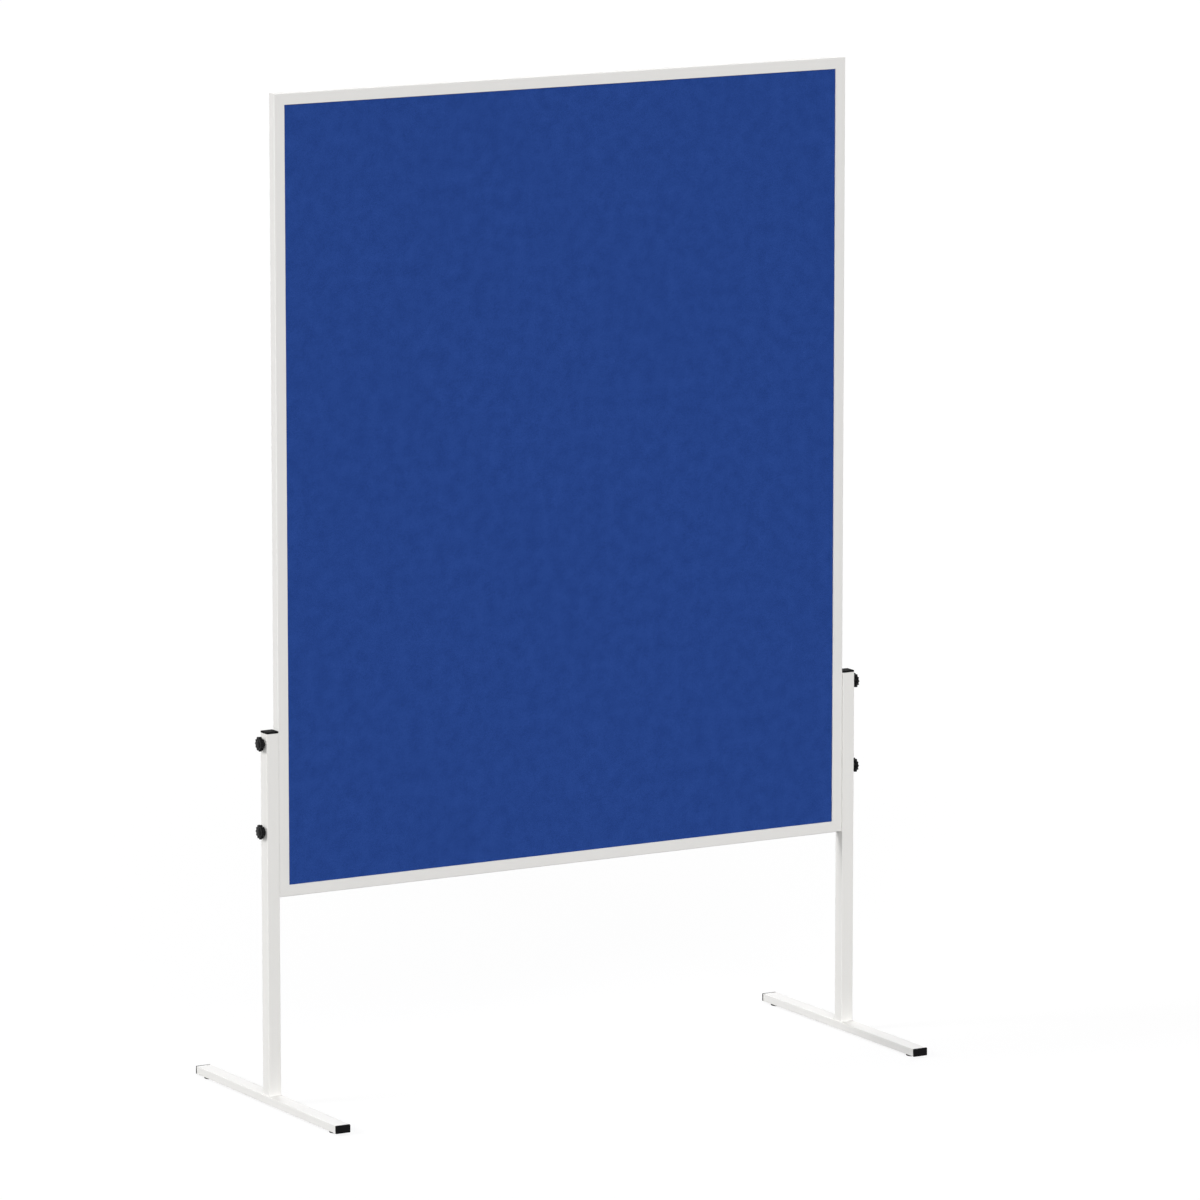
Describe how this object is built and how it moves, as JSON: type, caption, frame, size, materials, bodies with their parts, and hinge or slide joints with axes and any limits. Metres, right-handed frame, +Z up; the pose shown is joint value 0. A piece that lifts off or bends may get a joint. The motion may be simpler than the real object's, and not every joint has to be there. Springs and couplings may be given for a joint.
{
  "type": "freestanding pinboard",
  "caption": "Free-standing pinboard: a blue fabric panel in a white metal frame, clamped between two T-feet by black star knobs.",
  "frame": {"origin": "on the floor under the middle of the board", "axes": "+Z up, -Y out of the board's front face, +X to the right as seen from the front"},
  "size_m": [1.3006, 0.562, 1.895],
  "materials": {
    "frame_white": "white powder coat, satin",
    "stand_white": "white powder coat, satin",
    "key_zinc": "as cast",
    "softboard": "pressed wood fibre, open",
    "fabric_blue": "fine-grained flat textile, matt",
    "plug_black": "moulded, satin",
    "glide_black": "moulded, matt",
    "zinc_steel": "zinc plated",
    "knob_black": "moulded, satin"
  },
  "bodies": {
    "board_and_feet": {"stile_left": "frame_white", "stile_right": "frame_white", "rail_top": "frame_white", "rail_bottom": "frame_white", "corner_key_left_top": "key_zinc", "corner_key_left_bottom": "key_zinc", "corner_key_right_top": "key_zinc", "corner_key_right_bottom": "key_zinc", "panel_core": "softboard", "fabric_front": "fabric_blue", "fabric_back": "fabric_blue", "post_left": "stand_white", "post_right": "stand_white", "foot_left": "stand_white", "foot_right": "stand_white", "post_cap_left": "plug_black", "post_cap_right": "plug_black", "foot_plug_left_front": "plug_black", "foot_plug_left_back": "plug_black", "foot_plug_right_front": "plug_black", "foot_plug_right_back": "plug_black", "glide_left_front": "glide_black", "glide_left_back": "glide_black", "glide_right_front": "glide_black", "glide_right_back": "glide_black", "insert_left_lower": "zinc_steel", "insert_left_upper": "zinc_steel", "insert_right_lower": "zinc_steel", "insert_right_upper": "zinc_steel"},
    "washer_left_lower": {"washer_left_lower": "zinc_steel"},
    "washer_left_upper": {"washer_left_upper": "zinc_steel"},
    "washer_right_lower": {"washer_right_lower": "zinc_steel"},
    "washer_right_upper": {"washer_right_upper": "zinc_steel"},
    "screw_left_lower": {"knob_left_lower": "knob_black", "stud_left_lower": "zinc_steel"},
    "screw_left_upper": {"knob_left_upper": "knob_black", "stud_left_upper": "zinc_steel"},
    "screw_right_lower": {"knob_right_lower": "knob_black", "stud_right_lower": "zinc_steel"},
    "screw_right_upper": {"knob_right_upper": "knob_black", "stud_right_upper": "zinc_steel"}
  },
  "joints": [
    {"name": "left_lower_travel", "type": "slide", "parent": "board_and_feet", "child": "washer_left_lower", "axis": [-1, 0, 0], "range_m": [0, 0.008]},
    {"name": "left_lower_turn", "type": "hinge", "parent": "washer_left_lower", "child": "screw_left_lower", "pos_m": [-0.6378, 0, 0.521], "axis": [-1, 0, 0], "range_deg": [0, 2880]},
    {"name": "left_upper_travel", "type": "slide", "parent": "board_and_feet", "child": "washer_left_upper", "axis": [-1, 0, 0], "range_m": [0, 0.008]},
    {"name": "left_upper_turn", "type": "hinge", "parent": "washer_left_upper", "child": "screw_left_upper", "pos_m": [-0.6378, 0, 0.687], "axis": [-1, 0, 0], "range_deg": [0, 2880]},
    {"name": "right_lower_travel", "type": "slide", "parent": "board_and_feet", "child": "washer_right_lower", "axis": [1, 0, 0], "range_m": [0, 0.008]},
    {"name": "right_lower_turn", "type": "hinge", "parent": "washer_right_lower", "child": "screw_right_lower", "pos_m": [0.6378, 0, 0.521], "axis": [1, 0, 0], "range_deg": [0, 2880]},
    {"name": "right_upper_travel", "type": "slide", "parent": "board_and_feet", "child": "washer_right_upper", "axis": [1, 0, 0], "range_m": [0, 0.008]},
    {"name": "right_upper_turn", "type": "hinge", "parent": "washer_right_upper", "child": "screw_right_upper", "pos_m": [0.6378, 0, 0.687], "axis": [1, 0, 0], "range_deg": [0, 2880]}
  ],
  "couplings": [
    {"joint": "left_lower_travel", "follows": "left_lower_turn", "m_per_rad": 0.00015915},
    {"joint": "left_upper_travel", "follows": "left_upper_turn", "m_per_rad": 0.00015915},
    {"joint": "right_lower_travel", "follows": "right_lower_turn", "m_per_rad": 0.00015915},
    {"joint": "right_upper_travel", "follows": "right_upper_turn", "m_per_rad": 0.00015915}
  ]
}
